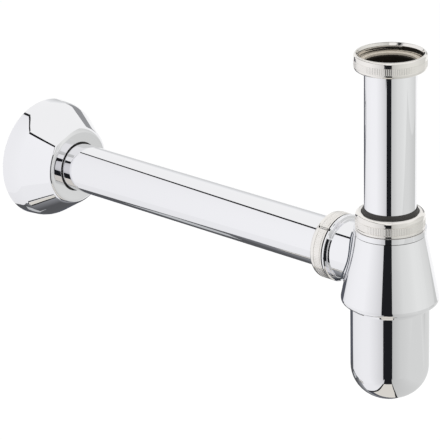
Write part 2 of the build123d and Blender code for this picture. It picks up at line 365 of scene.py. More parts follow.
def grow(tree, values, start=None):
    mesh = start or bpy.data.meshes.new("start")
    holder = bpy.data.objects.new("holder", mesh)
    bpy.context.scene.collection.objects.link(holder)
    live = holder.modifiers.new("grow", "NODES")
    live.node_group = tree
    for item in tree.interface.items_tree:
        if item.item_type == "SOCKET" and item.in_out == "INPUT" and item.name in values:
            live[item.identifier] = values[item.name]
    shown = holder.evaluated_get(bpy.context.evaluated_depsgraph_get())
    plain = bpy.data.meshes.new_from_object(shown)
    holder.modifiers.remove(live)
    bpy.data.objects.remove(holder)
    return plain


print("outlet axis at height", -OUTLET_DROP, "mm")

# %% [markdown]
# A turned piece starts as an outline of edges beside the ring that the tree sweeps it along.
# Several meshes then become one piece, with its finishes, its place on the trap and the body
# that it rides on. A zone of a finished piece can take another finish, such as a tube's bore.

# %% Turning and finishing
ROUND_SEGMENTS, FLANGE_SEGMENTS = 192, 256
SHARP_ANGLE = math.radians(38)
SAME_MM = 0.01


def turn(corners, finish, closed=True, segments=ROUND_SEGMENTS):
    points = rounded(corners, closed)
    ring_mm = max(p[0] for p in points) + 1.0
    outline = bpy.data.meshes.new("outline")
    edges = [(i, i + 1) for i in range(len(points) - 1)]
    if closed:
        edges.append((len(points) - 1, 0))
    outline.from_pydata([((p[0] - ring_mm) * MM, p[1] * MM, 0) for p in points], edges, [])
    values = {"Segments": segments, "Ring radius": ring_mm * MM, "Finish": finish}
    plain = grow(lathe, values, outline)
    # The sweep may come out upside down, which the lowest point tells.
    low = min(v.co.z for v in plain.vertices)
    if abs(low - min(p[1] for p in points) * MM) > SAME_MM * MM:
        plain.transform(Matrix.Scale(-1, 4, (0, 0, 1)))
    return plain


def finish_piece(name, meshes, axis, body, slot, *stands_for):
    made = bmesh.new()
    finishes = []
    for mesh in meshes:
        before = len(made.faces)
        made.from_mesh(mesh)
        made.faces.ensure_lookup_table()
        # A primitive from a tree brings an empty slot along, so the finish is the last one.
        finish = mesh.materials[-1]
        if finish not in finishes:
            finishes.append(finish)
        for face in made.faces[before:]:
            face.material_index = finishes.index(finish)
    bmesh.ops.recalc_face_normals(made, faces=made.faces)
    whole = bpy.data.meshes.new(name)
    made.to_mesh(whole)
    made.free()
    for material in finishes:
        whole.materials.append(material)
    whole.transform(axis)
    whole.set_sharp_from_angle(angle=SHARP_ANGLE)
    piece = bpy.data.objects.new(name, whole)
    bpy.context.scene.collection.objects.link(piece)
    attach(piece, body)
    if stands_for:
        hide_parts(*stands_for)
    spans = [[v.co[k] / MM for v in whole.vertices] for k in range(3)]
    low, high = [round(min(s), 1) for s in spans], [round(max(s), 1) for s in spans]
    print(name, len(whole.polygons), "faces, from", low, "to", high)
    return piece


def recoat(piece, axis, finish, inner_mm, outer_mm, low_mm, high_mm):
    materials = piece.data.materials
    if finish.name not in materials:
        materials.append(finish)
    back = axis.inverted()
    for face in piece.data.polygons:
        spot = back @ face.center / MM
        if inner_mm < math.hypot(spot.x, spot.y) < outer_mm and low_mm < spot.z < high_mm:
            face.material_index = materials.find(finish.name)


# %% [markdown]
# ## The two tubes
# Both are thin drawn brass tube, 32 mm across with a 1 mm wall. The inlet tube is flared at
# the top, where the coupling nut pulls it up against the basin, and its lower end dips into
# the water of the cup. The outlet tube is sized down a little at the wall end. The flare could
# be a flat disc, but metal that is spun outwards keeps a curve at the root, so it gets one.

# %% Inlet and outlet tube
TUBE, BORE = 16.0, 15.0
DIP_END, FLARE, FLARE_LOW, FLARE_HIGH = -193.0, 18.6, -2.6, -1.6
OUTLET_START, OUTLET_END = 27.5, 323.0
SIZED, SIZED_START = 15.7, 305.0
inlet_tube = finish_piece(
    "inlet_tube_drawn",
    [
        turn(
            [
                (BORE, DIP_END, 0.3),
                (TUBE, DIP_END, 0.4),
                (TUBE, FLARE_LOW, 0.25),
                (FLARE, FLARE_LOW, 0.4),
                (FLARE, FLARE_HIGH, 0.4),
                (BORE, FLARE_HIGH, 0.6),
            ],
            chrome,
        )
    ],
    on_inlet_axis,
    "inlet_tube",
    "chrome_plate",
    "inlet_tube",
)
# The bore is near black: oxidised brass, darkened further as painted shade inside the tube.
recoat(inlet_tube, on_inlet_axis, oxide_and_painted_shade, 0, BORE + 0.3, DIP_END - 1, 0)
recoat(inlet_tube, on_inlet_axis, oxide_and_painted_shade, 0, TUBE + 1, FLARE_HIGH - 0.15, 0)
outlet_tube = finish_piece(
    "outlet_tube_drawn",
    [
        turn(
            [
                (BORE, OUTLET_START, 0.3),
                (TUBE, OUTLET_START, 0.4),
                (TUBE, SIZED_START, 0.15),
                (SIZED, SIZED_START, 0.1),
                (SIZED, OUTLET_END, 0.4),
                (BORE, OUTLET_END, 0.2),
            ],
            chrome,
        )
    ],
    on_outlet_axis,
    "outlet_tube",
    "chrome_plate",
    "outlet_tube",
)
# The bore is near black: oxidised brass, darkened further as painted shade inside the tube.
recoat(outlet_tube, on_outlet_axis, oxide_and_painted_shade, 0, BORE + 0.1, 0, OUTLET_END + 1)

# %% [markdown]
# ## The body
# The body is one brass casting: a conical bell, a collar under the inlet nut and a short
# branch to the outlet, with a soft fillet where the branch leaves the cone. The fillet runs
# along a curve in space, which a lathe can't give, and the CAD solid already has it with true
# surface normals. So the solid itself stays in view and only takes the chrome.

# %% Chrome on the body
body = nodes["trap_body"]
body.data.materials.clear()
body.data.materials.append(chrome)
print("body keeps", len(body.data.polygons), "CAD faces")

# %% [markdown]
# Some small things are added to it. A near-black ring laid in the cutter's groove under the
# collar is painted shade, which draws a fine dark line there. The near-black ring at the foot of
# each slip nut is painted shade in the gap between nut and body. And the collar of the branch
# has a turned bevel that runs into the casting in a small hollow arc. The bevel is tilted just
# so that it mirrors the open corner of the studio: a thin curved black line beside the nut.

# %% Painted shade in the groove and the nut gaps, and the branch fillet
BRANCH, HOLLOW = 18.6, 0.5
COLLAR_FACE, COLLAR_BACK = 34.6, 35.5
GROOVE, GROOVE_LOW, GROOVE_HIGH = 21.75, -108.86, -108.44
NECK, GAP_SHADE = 19.4, 20.95
INLET_SEAT, OUTLET_SEAT = -105.1, 36.9
hollow_arc = [
    (
        BRANCH + HOLLOW + HOLLOW * math.cos(math.radians(angle)),
        COLLAR_FACE - HOLLOW + HOLLOW * math.sin(math.radians(angle)),
    )
    for angle in range(90, 181, 6)
]
groove_outline = [
    (GROOVE - 0.45, GROOVE_LOW),
    (GROOVE, GROOVE_LOW, 0.1),
    (GROOVE, GROOVE_HIGH, 0.1),
    (GROOVE - 0.45, GROOVE_HIGH),
]
# A near-black ring laid in the collar groove: painted shade for its fine dark line.
finish_piece(
    "body_collar_groove_shade",
    [turn(groove_outline, oxide_and_painted_shade)],
    on_inlet_axis,
    "trap_body",
    "chrome_plate",
)
# Near-black rings at the foot of each slip nut: painted shade in the gap between nut and body.
for name, seat, gap, axis in (
    ("body_neck_gap_shade", INLET_SEAT, 0.1, on_inlet_axis),
    ("body_branch_gap_shade", OUTLET_SEAT, 0.5, on_outlet_axis),
):
    low, high = seat - 0.05, seat + gap
    outline = [(NECK, low), (GAP_SHADE, low), (GAP_SHADE, high), (NECK, high)]
    finish_piece(name, [turn(outline, oxide_and_painted_shade)], axis, "trap_body", "chrome_plate")
collar_outline = [
    (BRANCH - 0.3, COLLAR_BACK),
    (21.42, COLLAR_BACK),
    (20.76, COLLAR_FACE),
    *hollow_arc,
    (BRANCH - 0.3, COLLAR_FACE - HOLLOW - 0.05),
]
finish_piece(
    "body_branch_fillet",
    [turn(collar_outline, chrome)],
    on_outlet_axis,
    "trap_body",
    "chrome_plate",
)

# %% [markdown]
# Where the branch leaves the cone, the real part shows a dark line along both edges of the
# fillet. It may be a mirror image or tarnish that the polishing wheel missed. The fillet here
# doesn't mirror it, so the two lines are laid on as painted shade in a grey finish. Each edge is
# where a ball that rolls along the corner touches the branch or the cone, so the two lines
# follow from the ball's path. They could be painted on by a mask, but a laid bead that stands
# out by a third of a millimetre stays sharp from any side. The tree below sweeps a small round
# section along a chain of points.

# %% Painted shade lines beside the fillet
bead_line, given = start_tree(
    "laid_bead", [("Bead radius", "NodeSocketFloat"), ("Finish", "NodeSocketMaterial")]
)
chain = put(bead_line, "GeometryNodeMeshToCurve", {}, {"Mesh": given["Geometry"]})
section = put(
    bead_line,
    "GeometryNodeCurvePrimitiveCircle",
    {"mode": "RADIUS"},
    {"Resolution": 10, "Radius": given["Bead radius"]},
)
laid = put(
    bead_line,
    "GeometryNodeCurveToMesh",
    {},
    {
        "Curve": chain.outputs["Curve"],
        "Profile Curve": section.outputs["Curve"],
        "Fill Caps": True,
    },
)
end_tree(bead_line, laid.outputs["Mesh"], given["Finish"])

FILLET, CONE_TOP, CONE_TOP_Z, TAPER = 2.5, 21.9, -108.9, 0.2
BEAD, SUNK = 0.6, 0.3
FIRST_STEP, LAST_STEP = -242, 62
lean = math.hypot(1.0, TAPER)
branch_edge, cone_edge = [], []
for step in range(FIRST_STEP, LAST_STEP + 1, 2):
    angle = math.radians(step)
    y = (BRANCH + FILLET) * math.cos(angle)
    z = (BRANCH + FILLET) * math.sin(angle) - OUTLET_DROP
    ring_mm = CONE_TOP + TAPER * (CONE_TOP_Z - z) + FILLET * lean
    x = -math.sqrt(ring_mm**2 - y**2)
    shrink = (BRANCH - SUNK) / (BRANCH + FILLET)
    branch_edge.append((x, y * shrink, (z + OUTLET_DROP) * shrink - OUTLET_DROP))
    reach = (FILLET + SUNK) / lean
    cone_edge.append((x * (1 - reach / ring_mm), y * (1 - reach / ring_mm), z - reach * TAPER))
# Grey beads along both edges of the fillet: painted shade lines.
for name, spots in (("body_branch_shade_line", branch_edge), ("body_cone_shade_line", cone_edge)):
    path = bpy.data.meshes.new("path")
    links = [(i, i + 1) for i in range(len(spots) - 1)]
    path.from_pydata([Vector(p) * MM for p in spots], links, [])
    bead = grow(bead_line, {"Bead radius": BEAD * MM, "Finish": fillet_shade}, path)
    finish_piece(name, [bead], on_inlet_axis, "trap_body", "chrome_plate")

# %% [markdown]
# ## The cup
# The cup is spun from sheet: a straight wall that runs into a deep round bottom. Its outline
# starts and ends on the axis, so the lathe closes it at two poles. The bright line under the
# bell is read as a small shoulder that leans down and mirrors the pale table. Above it the cup
# carries a rolled thread, which only shows once the cup is screwed off.

# %% Cup outline
CUP, CUP_WALL, CUP_DOME = 24.4, 1.3, 21.0
CUP_RIM, CUP_BOTTOM = -147.0, -216.5
CUP_NECK, SHOULDER, SHOULDER_LOW, SHOULDER_HIGH = 24.75, 25.3, -156.4, -153.4
cup_outline = [
    (0.0, CUP_BOTTOM),
    (CUP, CUP_BOTTOM, CUP_DOME),
    (CUP, SHOULDER_LOW, 2.0),
    (SHOULDER, SHOULDER_LOW + 2.2, 0.25),
    (SHOULDER, SHOULDER_HIGH, 0.1),
    (CUP_NECK, SHOULDER_HIGH, 0.1),
    (CUP_NECK, CUP_RIM, 0.3),
    (CUP - CUP_WALL, CUP_RIM, 0.3),
    (CUP - CUP_WALL, CUP_BOTTOM + CUP_WALL, CUP_DOME - CUP_WALL),
    (0.0, CUP_BOTTOM + CUP_WALL),
]
cup_shell = turn(cup_outline, chrome, closed=False)
print("cup shell", len(cup_shell.polygons), "faces")

# %% [markdown]
# ## Rolled threads in Geometry Nodes
# A thread follows a path: a ridge with a blunt crest that climbs round the axis by one pitch
# each turn. The tree draws a spiral and sweeps a trapezoid along it. Side is 1 for a thread on
# the outside of a neck and -1 for one inside a nut, and only turns the trapezoid over. A nut
# and its neck get ridges half a pitch apart, so they stay in mesh while the nut climbs.

# %% Thread tree
thread, given = start_tree(
    "rolled_thread",
    [
        ("Turns", "NodeSocketFloat"),
        ("Pitch", "NodeSocketFloat"),
        ("Root radius", "NodeSocketFloat"),
        ("Depth", "NodeSocketFloat"),
        ("Side", "NodeSocketFloat"),
        ("Root width", "NodeSocketFloat"),
        ("Crest width", "NodeSocketFloat"),
        ("Start height", "NodeSocketFloat"),
        ("Finish", "NodeSocketMaterial"),
    ],
)
COIL_STEPS = 72
climb = put(
    thread, "ShaderNodeMath", {"operation": "MULTIPLY"}, {0: given["Turns"], 1: given["Pitch"]}
)
coil = put(
    thread,
    "GeometryNodeCurveSpiral",
    {},
    {
        "Resolution": COIL_STEPS,
        "Rotations": given["Turns"],
        "Start Radius": given["Root radius"],
        "End Radius": given["Root radius"],
        "Height": climb.outputs[0],
    },
)
form = put(
    thread,
    "GeometryNodeCurvePrimitiveQuadrilateral",
    {"mode": "TRAPEZOID"},
    {
        "Bottom Width": given["Root width"],
        "Top Width": given["Crest width"],
        "Offset": 0.0,
        "Height": given["Depth"],
    },
)
half_depth = put(
    thread, "ShaderNodeMath", {"operation": "MULTIPLY"}, {0: given["Depth"], 1: 0.5}
)
lift = put(thread, "ShaderNodeCombineXYZ", {}, {"Y": half_depth.outputs[0]})
lifted = put(
    thread,
    "GeometryNodeTransform",
    {},
    {"Geometry": form.outputs["Curve"], "Translation": lift.outputs["Vector"]},
)
facing = put(thread, "ShaderNodeCombineXYZ", {}, {"X": 1.0, "Y": given["Side"], "Z": 1.0})
turned_form = put(
    thread,
    "GeometryNodeTransform",
    {},
    {
        "Geometry": lifted.outputs["Geometry"],
        "Rotation": (0, 0, math.pi / 2),
        "Scale": facing.outputs["Vector"],
    },
)
coil_upright = put(
    thread, "GeometryNodeSetCurveNormal", {"mode": "Z_UP"}, {"Curve": coil.outputs["Curve"]}
)
ridge = put(
    thread,
    "GeometryNodeCurveToMesh",
    {},
    {
        "Curve": coil_upright.outputs["Curve"],
        "Profile Curve": turned_form.outputs["Geometry"],
        "Fill Caps": True,
    },
)
base = put(thread, "ShaderNodeCombineXYZ", {}, {"Z": given["Start height"]})
raised = put(
    thread,
    "GeometryNodeTransform",
    {},
    {"Geometry": ridge.outputs["Mesh"], "Translation": base.outputs["Vector"]},
)
end_tree(thread, raised.outputs["Geometry"], given["Finish"])
print("thread tree with", len(thread.nodes), "nodes")

# %% [markdown]
# A thread is called for by its turns, its pitch, the radius of its root and its depth, which is
# negative inside a nut. The widths of root and crest are shares of the pitch.


# %% Rolling a thread
def roll_thread(turns, pitch, root, depth, start, finish, root_share=0.56, crest_share=0.2):
    sizes = {"Pitch": pitch, "Root radius": root, "Depth": abs(depth), "Start height": start}
    sizes.update({"Root width": root_share * pitch, "Crest width": crest_share * pitch})
    values = {label: size * MM for label, size in sizes.items()}
    values.update({"Turns": turns, "Side": math.copysign(1.0, depth), "Finish": finish})
    plain = grow(thread, values)
    reach = [math.hypot(v.co.x, v.co.y) / MM for v in plain.vertices]
    print("thread from radius", round(min(reach), 2), "to", round(max(reach), 2))
    return plain


# %% [markdown]
# The cup gets three turns at its rim, and the body gets the threads of its neck and branch as
# thin ridges on the CAD solid. All are cut at 2 mm pitch, the pitch that the joints use.

# %% Cup, neck and branch threads
JOINT_PITCH = 2.0
NECK_ROOT = 19.42
finish_piece(
    "cup_spun",
    [cup_shell, roll_thread(2.2, JOINT_PITCH, 24.72, 0.6, CUP_RIM - 5.2, chrome)],
    on_inlet_axis,
    "cup",
    "chrome_plate",
    "cup",
)
finish_piece(
    "body_neck_thread",
    [roll_thread(1.6, JOINT_PITCH, NECK_ROOT, 0.55, INLET_SEAT + 0.9, chrome)],
    on_inlet_axis,
    "trap_body",
    "chrome_plate",
)
finish_piece(
    "body_branch_thread",
    [roll_thread(1.6, JOINT_PITCH, NECK_ROOT, 0.55, OUTLET_SEAT + 0.9, chrome)],
    on_outlet_axis,
    "trap_body",
    "chrome_plate",
)

# %% [markdown]
# ## Knurled bands in Geometry Nodes
# A nut that is tightened by hand carries a band of fine straight ridges for grip, pressed in
# by a knurling wheel. One ridge repeats about 120 times round the nut, so the tree makes one
# small bead with sixteen sides, puts it on the points of a circle and turns each copy outwards.
# The band of the nut itself lies a ridge's height deeper, so the crests end flush with the rim.

# %% Knurl tree
knurl, given = start_tree(
    "knurled_band",
    [
        ("Ridges", "NodeSocketInt"),
        ("Band radius", "NodeSocketFloat"),
        ("Ridge radius", "NodeSocketFloat"),
        ("Low", "NodeSocketFloat"),
        ("High", "NodeSocketFloat"),
        ("Finish", "NodeSocketMaterial"),
    ],
)
BEAD_SIDES = 16
spots = put(
    knurl,
    "GeometryNodeMeshCircle",
    {},
    {"Vertices": given["Ridges"], "Radius": given["Band radius"]},
)
tall = put(
    knurl, "ShaderNodeMath", {"operation": "SUBTRACT"}, {0: given["High"], 1: given["Low"]}
)
both = put(knurl, "ShaderNodeMath", {"operation": "ADD"}, {0: given["High"], 1: given["Low"]})
middle = put(knurl, "ShaderNodeMath", {"operation": "MULTIPLY"}, {0: both.outputs[0], 1: 0.5})
bead = put(
    knurl,
    "GeometryNodeMeshCylinder",
    {},
    {
        "Vertices": BEAD_SIDES,
        "Side Segments": 1,
        "Radius": given["Ridge radius"],
        "Depth": tall.outputs[0],
    },
)
outward = put(
    knurl,
    "FunctionNodeAlignRotationToVector",
    {"axis": "X"},
    {"Vector": put(knurl, "GeometryNodeInputPosition").outputs["Position"]},
)
copies = put(
    knurl,
    "GeometryNodeInstanceOnPoints",
    {},
    {
        "Points": spots.outputs["Mesh"],
        "Instance": bead.outputs["Mesh"],
        "Rotation": outward.outputs["Rotation"],
    },
)
level = put(knurl, "ShaderNodeCombineXYZ", {}, {"Z": middle.outputs[0]})
raised = put(
    knurl,
    "GeometryNodeTransform",
    {},
    {"Geometry": copies.outputs["Instances"], "Translation": level.outputs["Vector"]},
)
smooth = put(knurl, "GeometryNodeSetShadeSmooth", {}, {"Geometry": raised.outputs["Geometry"]})
end_tree(knurl, smooth.outputs["Geometry"], given["Finish"])
print("knurl tree with", len(knurl.nodes), "nodes")

# %% [markdown]
# The pitch of the knurling wheel gives the count of ridges: as many as fit round the nut.

# %% Pressing a knurl
KNURL_PITCH, KNURL_RIDGE, KNURL_DEPTH = 1.1, 0.5, 0.1


def press_knurl(radius, low, high, finish):
    band = radius - KNURL_RIDGE
    ridges = round(2 * math.pi * radius / KNURL_PITCH)
    sizes = {"Band radius": band, "Ridge radius": KNURL_RIDGE, "Low": low, "High": high}
    values = {label: size * MM for label, size in sizes.items()}
    plain = grow(knurl, {**values, "Ridges": ridges, "Finish": finish})
    print("knurl with", ridges, "ridges on radius", radius)
    return plain


# %% [markdown]
# ## The coupling nut
# The coupling nut screws onto the tail of the basin waste with a standard G 1 1/4 thread of
# 2.309 mm pitch. It shows a rounded rim, a knurled band between two smooth lands, and inside
# the mouth a lead-in bevel and the turns of thread above the washer. Two fine dark lines show
# there. The thread's roots are coloured near black: oxide where the plating bath hardly
# reaches, and painted shade deep in the thread.

# %% Coupling nut
COUPLING, COUPLING_BORE, COUPLING_HOLE = 22.0, 20.5, 16.3
COUPLING_LOW, COUPLING_HIGH = -5.1, 5.0
BAND_LOW, BAND_HIGH = -2.5, 1.4
COUPLING_PITCH = 2.309
coupling_outline = [
    (COUPLING_HOLE, COUPLING_LOW, 0.3),
    (COUPLING, COUPLING_LOW, 2.2),
    (COUPLING, BAND_LOW - 0.1, 0.1),
    (COUPLING - KNURL_DEPTH, BAND_LOW, 0.1),
    (COUPLING - KNURL_DEPTH, BAND_HIGH, 0.1),
    (COUPLING, BAND_HIGH + 0.1, 0.1),
    (COUPLING, COUPLING_HIGH, 1.6),
    (20.9, COUPLING_HIGH, 0.3),
    (20.0, 3.0, 0.2),
    (COUPLING_BORE, 2.8, 0.1),
    (COUPLING_BORE, FLARE_LOW, 0.3),
    (COUPLING_HOLE, FLARE_LOW, 0.2),
]
coupling_nut = finish_piece(
    "inlet_coupling_nut_turned",
    [
        turn(coupling_outline, nickel_upright),
        press_knurl(COUPLING, BAND_LOW, BAND_HIGH, nickel_upright),
        roll_thread(
            1.7, COUPLING_PITCH, COUPLING_BORE + 0.02, -0.9, -1.8, nickel_thread, 0.8, 0.55
        ),
    ],
    on_inlet_axis,
    "inlet_coupling_nut",
    "satin_nickel",
    "inlet_coupling_nut",
)
# The bore between the thread turns is near black: oxide in the roots and painted shade deep in the
# thread.
root_zone = (COUPLING_BORE - 0.2, COUPLING_BORE + 0.05, FLARE_LOW + 0.2, 2.85)
recoat(coupling_nut, on_inlet_axis, oxide_and_painted_shade, *root_zone)

# %% [markdown]
# ## The slip nuts
# A slip nut draws each joint tight: it presses the rubber seal against the tube while the
# tube can still slide. The two are the same part, once upright on the inlet and once lying on
# the outlet, so one function makes both. Each has a lip over the seal, a knurled band and a
# thread inside that meshes with the neck.

# %% Slip nuts
NUT, NUT_BORE, NUT_LIP = 21.3, 20.3, 17.6
NUT_SHOULDER, NUT_TOP = 7.35, 10.4
KNURL_LOW, KNURL_HIGH, LAND_GROOVE = 1.95, 6.25, 0.32


def slip_nut(name, seat, gap, finish, axis):
    low, high = seat + KNURL_LOW, seat + KNURL_HIGH
    outline = [
        (NUT_BORE, seat + gap),
        (NUT, seat + gap, 0.2),
        (NUT, low - 0.45, 0.08),
        (NUT - LAND_GROOVE, low - 0.2),
        (NUT - KNURL_DEPTH, low, 0.08),
        (NUT - KNURL_DEPTH, high, 0.08),
        (NUT - LAND_GROOVE, high + 0.2),
        (NUT, high + 0.45, 0.08),
        (NUT, seat + NUT_TOP, 2.6),
        (NUT_LIP, seat + NUT_TOP, 0.35),
        (NUT_LIP, seat + NUT_SHOULDER, 0.2),
        (NUT_BORE, seat + NUT_SHOULDER, 0.2),
    ]
    parts = [
        turn(outline, finish),
        press_knurl(NUT, low, high, finish),
        roll_thread(2.2, JOINT_PITCH, NUT_BORE + 0.02, -0.75, seat + 1.9, finish),
    ]
    return finish_piece(name + "_turned", parts, axis, name, "satin_nickel", name)


slip_nut("inlet_slip_nut", INLET_SEAT, 0.12, nickel_upright, on_inlet_axis)
slip_nut("outlet_slip_nut", OUTLET_SEAT, 0.55, nickel_level, on_outlet_axis)

# %% [markdown]
# ## Seals, rings and the washer
# Each slip joint hides a rubber seal with a tapered lip that shows above the nut as a black
# ring, and a white ring that lets the nut turn without dragging the rubber round. The flat
# washer closes the top joint, the gasket closes the cup, and a rubber ring inside the flange
# grips the tube. All are plain turned rings with soft edges.


# %% Rings
SEAL, SEAL_LIP, SEAL_BORE = 18.6, 17.5, 16.05
RING_LOW, RING_HIGH = 5.84, 7.31
GRIP_LOW, GRIP_HIGH = 271.2, 274.7


def seal(name, seat, axis):
    outline = [
        (SEAL_BORE, seat + 1.0, 0.2),
        (SEAL, seat + 1.0, 0.3),
        (SEAL, seat + 5.8, 0.3),
        (SEAL_LIP, seat + 5.8, 0.2),
        (SEAL_LIP, seat + 9.9, 0.6),
        (16.6, seat + 12.7, 0.35),
        (SEAL_BORE, seat + 12.7, 0.15),
    ]
    return finish_piece(
        name + "_moulded", [turn(outline, rubber)], axis, name, "black_rubber", name
    )


def flat_ring(name, inner, outer, low, high, finish, axis, body, slot):
    edge = min(0.3, 0.3 * (high - low))
    outline = [(inner, low, edge), (outer, low, edge), (outer, high, edge), (inner, high, edge)]
    return finish_piece(name + "_pressed", [turn(outline, finish)], axis, body, slot, name)


SLIP_JOINTS = (("inlet", INLET_SEAT, on_inlet_axis), ("outlet", OUTLET_SEAT, on_outlet_axis))
for side, seat, axis in SLIP_JOINTS:
    seal(side + "_seal", seat, axis)
for side, seat, axis in SLIP_JOINTS:
    ring_name = side + "_friction_ring"
    low, high = seat + RING_LOW, seat + RING_HIGH
    flat_ring(ring_name, NUT_LIP, 19.2, low, high, plastic, axis, ring_name, "white_plastic")
flat_ring("inlet_washer", 16.1, 19.2, -1.6, 0.0, fibre, on_inlet_axis, "inlet_tube", "fibre_washer")
low, high = CUP_RIM, CUP_RIM + 1.8
flat_ring("cup_gasket", 21.8, 25.1, low, high, rubber, on_inlet_axis, "cup_gasket", "black_rubber")
grip = "flange_grip_ring"
low, high = GRIP_LOW, GRIP_HIGH
flat_ring(grip, SEAL_BORE, 20.0, low, high, rubber, on_outlet_axis, grip, "black_rubber")

# %% [markdown]
# ## The wall flange
# The flange is spun from thin brass: a rim that meets the wall, a cone that comes forward and
# a narrow face round the tube. It is open at the back so that it can hide the end of the wall
# pipe, and it slides along the tube until it meets the tiles. The rim's corner and the edge
# of the face are spun over a rounded former, which gives the thin bright lines there.

# %% Flange
RIM, RIM_BACK, RIM_FRONT, RIM_INSIDE = 40.2, 303.0, 293.0, 39.0
FACE, FACE_FRONT, FACE_BACK, FACE_HOLE = 25.7, 270.2, 271.3, 16.9
finish_piece(
    "wall_flange_spun",
    [
        turn(
            [
                (RIM, RIM_BACK, 0.3),
                (RIM - 0.8, RIM_FRONT, 16.0),
                (FACE, FACE_FRONT, 4.5),
                (FACE_HOLE, FACE_FRONT, 0.4),
                (FACE_HOLE, FACE_BACK, 0.3),
                (FACE - 0.7, FACE_BACK, 3.2),
                (RIM_INSIDE - 0.8, RIM_FRONT + 1.2, 14.0),
                (RIM_INSIDE, RIM_BACK, 0.3),
            ],
            chrome,
            segments=FLANGE_SEGMENTS,
        )
    ],
    on_outlet_axis,
    "wall_flange",
    "chrome_plate",
    "wall_flange",
)

# %% [markdown]
# ## Camera
# The photograph was taken from the front right and a little above, with a long lens that
# hardly shows perspective. The camera looks from there at the point where the two tube axes
# cross. It is turned until that point falls where it does in the frame, and rolled by the
# small tilt of the picture, so no lens shift is needed.

# %% Set the camera
FRAME_PX = 440
LENS_PX = 2453.08
AZIMUTH, ELEVATION, ROLL = (math.radians(angle) for angle in (38.83, 22.25, -1.46))
DISTANCE = 1495.81 * MM
CROSSING_PX = (390.15, 261.54)
AIM_ROUNDS, SENSOR_MM = 8, 36.0
crossing = Vector((0, 0, -OUTLET_DROP * MM))
level = math.cos(ELEVATION)
back = Vector((math.sin(AZIMUTH) * level, -math.cos(AZIMUTH) * level, math.sin(ELEVATION)))
eye = crossing + back * DISTANCE
look = -back
for _ in range(AIM_ROUNDS):
    side = look.cross(Vector((0, 0, 1))).normalized()
    rise = side.cross(look)
    right = math.cos(ROLL) * side + math.sin(ROLL) * rise
    up = math.cos(ROLL) * rise - math.sin(ROLL) * side
    ray = crossing - eye
    x = FRAME_PX / 2 + LENS_PX * ray.dot(right) / ray.dot(look)
    y = FRAME_PX / 2 - LENS_PX * ray.dot(up) / ray.dot(look)
    swing = right * (x - CROSSING_PX[0]) + up * (CROSSING_PX[1] - y)
    look = (look + swing / LENS_PX).normalized()
camera_data = bpy.data.cameras.new("camera")
camera_data.sensor_width = SENSOR_MM
camera_data.lens = SENSOR_MM * LENS_PX / FRAME_PX
camera_data.clip_end = 50.0
camera = bpy.data.objects.new("camera", camera_data)
bpy.context.scene.collection.objects.link(camera)
camera.matrix_world = Matrix((right, up, -look)).transposed().to_4x4()
camera.location = eye
bpy.context.scene.camera = camera
print("camera at", [round(v, 3) for v in eye], "lens", round(camera_data.lens, 1), "mm")

# %% [markdown]
# ## The white studio
# Chrome has no colour of its own: it shows what stands around it. The trap was photographed
# in a white tent, so most of it is white, and the dark lines on it are the gaps of the tent.
# The world is white to the camera and to reflections, and a little dimmer to matt surfaces,
# which are lit by two soft lamps. The floor glows a little in the same way, so that it meets
# the background without an edge.

# %% World and floor finishes
MATT_LEVEL, PAPER_GLOW = 0.55, 0.62
white_light = hex_to_linear("#FFFFFF")
scene = bpy.context.scene
scene.view_settings.view_transform = "Standard"


def seen_directly(tree):
    path = put(tree, "ShaderNodeLightPath").outputs
    seen = path["Is Camera Ray"]
    for kind in ("Is Glossy Ray", "Is Transmission Ray"):
        either = put(tree, "ShaderNodeMath", {"operation": "MAXIMUM"}, {0: seen, 1: path[kind]})
        seen = either.outputs[0]
    return seen


world = bpy.data.worlds.new("white_tent")
scene.world = world
world.use_nodes = True
tree = world.node_tree
tree.nodes.clear()
seen = seen_directly(tree)
dim = put(tree, "ShaderNodeBackground", {}, {"Color": white_light, "Strength": MATT_LEVEL})
white = put(tree, "ShaderNodeBackground", {}, {"Color": white_light, "Strength": 1.0})
both = put(tree, "ShaderNodeMixShader", {}, {0: seen, 1: dim.outputs[0], 2: white.outputs[0]})
put(tree, "ShaderNodeOutputWorld", {}, {"Surface": both.outputs[0]})

floor_finish, tree = start_material("pale_paper_floor")
seen = seen_directly(tree)
share = put(tree, "ShaderNodeMath", {"operation": "MULTIPLY"}, {0: seen, 1: PAPER_GLOW}).outputs[0]
paper = put(tree, "ShaderNodeBsdfDiffuse", {}, {"Color": hex_to_linear("#F4F4F4")})
glow = put(tree, "ShaderNodeEmission", {}, {"Color": white_light, "Strength": 1.0})
mixed = put(tree, "ShaderNodeMixShader", {}, {0: share, 1: paper.outputs[0], 2: glow.outputs[0]})
put(tree, "ShaderNodeOutputMaterial", {}, {"Surface": mixed.outputs[0]})
print("made", world.name, "and", floor_finish.name)

# %% [markdown]
# The floor is a wide sheet of pale paper that takes the object's soft shadow. A broad overhead
# light and one side lamp stand for the lit tent. Reflections don't see them, since the cards
# further down give everything that the chrome mirrors.

# %% Floor and lamps
FLOOR_Z, FLOOR_HALF = -470.0, 6000.0
SUN_STRENGTH, SUN_WIDTH = 1.9, math.radians(70)
SUN_TILT = (math.radians(18), math.radians(-14), 0)
SIDE_LAMP_WATTS, SIDE_LAMP_WIDTH = 10, 1000
SIDE_LAMP_PLACE, SIDE_LAMP_AIM = Vector((1200, -200, 700)), Vector((-50, 0, -130))


def sheet_of(name, corners_mm, material):
    mesh = bpy.data.meshes.new(name)
    mesh.from_pydata([Vector(c) * MM for c in corners_mm], [], [tuple(range(len(corners_mm)))])
    mesh.materials.append(material)
    made = bpy.data.objects.new(name, mesh)
    scene.collection.objects.link(made)
    made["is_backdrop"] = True
    return made


def lamp_of(name, kind, strength):
    data = bpy.data.lights.new(name, kind)
    data.energy = strength
    lamp = bpy.data.objects.new(name, data)
    scene.collection.objects.link(lamp)
    lamp.visible_glossy = False
    return lamp


